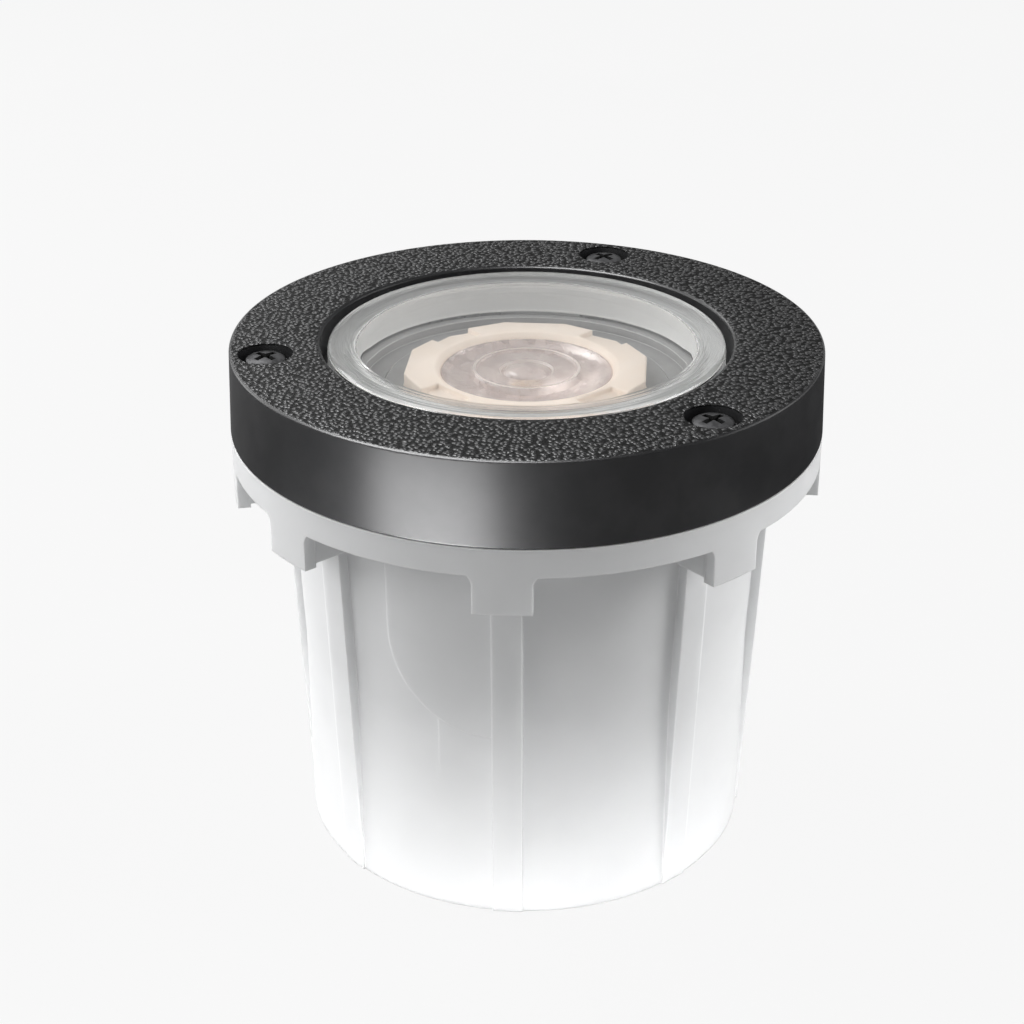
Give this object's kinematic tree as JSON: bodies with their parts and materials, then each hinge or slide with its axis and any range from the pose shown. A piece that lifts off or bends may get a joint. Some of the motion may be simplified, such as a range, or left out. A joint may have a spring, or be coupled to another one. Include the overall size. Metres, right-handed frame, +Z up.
{
  "type": "in-ground well light",
  "caption": "Round in-ground well light: black textured cover ring, domed glass lens, aimable lamp and a pale ribbed plastic well.",
  "frame": {"origin": "centre of the foot, on the surface that it stands on", "axes": "+Z up along the well's axis, -Y towards the front rib"},
  "size_m": [0.1282, 0.1282, 0.1159],
  "materials": {
    "ring_black": "cast, black powder coat: pebbled top, satin side",
    "screw_dark": "dark zinc, satin",
    "seal_black": "matt silicone",
    "lens_glass": "clear pressed glass",
    "well_plastic": "pale moulded composite, satin",
    "insert_brass": "turned",
    "spring_steel": "satin",
    "gland_nylon": "moulded nylon",
    "dish_grey": "moulded, satin grey",
    "washer_nylon": "natural nylon",
    "strap_steel": "plated sheet",
    "socket_ceramic": "unglazed",
    "lead_red": "silicone lead",
    "block_nylon": "moulded nylon",
    "lamp_cream": "moulded, satin cream",
    "optic_clear": "moulded clear optic",
    "sink_aluminium": "die cast",
    "board_white": "solder mask",
    "led_yellow": "phosphor",
    "pin_nickel": "nickel plate"
  },
  "bodies": {
    "well": {"well_body": "well_plastic", "cover_seal": "seal_black", "threaded_inserts": "insert_brass", "retaining_ring": "spring_steel", "gland_body": "gland_nylon", "gland_washer": "seal_black", "gland_locknut": "gland_nylon", "gland_grommet": "seal_black", "gland_cap": "gland_nylon"},
    "cover": {"cover_ring": "ring_black", "cover_screws": "screw_dark", "head_seals": "seal_black", "lens": "lens_glass", "lens_gasket": "seal_black"},
    "turntable": {"turntable": "dish_grey", "pivot_screws": "strap_steel", "friction_washers": "washer_nylon"},
    "lamp_holder": {"lamp_holder": "dish_grey", "socket_strap": "strap_steel", "strap_screws": "strap_steel", "lamp_socket": "socket_ceramic", "socket_screws": "strap_steel", "socket_leads": "lead_red", "terminal_block": "block_nylon", "terminal_screws": "insert_brass", "lamp_collar": "lamp_cream", "lamp_optic": "optic_clear", "lamp_heat_sink": "sink_aluminium", "led_board": "board_white", "led_emitter": "led_yellow", "lamp_base": "block_nylon", "lamp_pins": "pin_nickel"}
  },
  "joints": [
    {"name": "cover_lift", "type": "slide", "parent": "well", "child": "cover", "axis": [0, 0, 1], "range_m": [0, 0.06]},
    {"name": "lamp_turn", "type": "hinge", "parent": "well", "child": "turntable", "pos_m": [0, 0, 0.0979], "axis": [0, 0, 1], "range_deg": [-175, 175]},
    {"name": "lamp_tilt", "type": "hinge", "parent": "turntable", "child": "lamp_holder", "pos_m": [0, 0, 0.0953], "axis": [1, 0, 0], "range_deg": [-12, 12]}
  ]
}
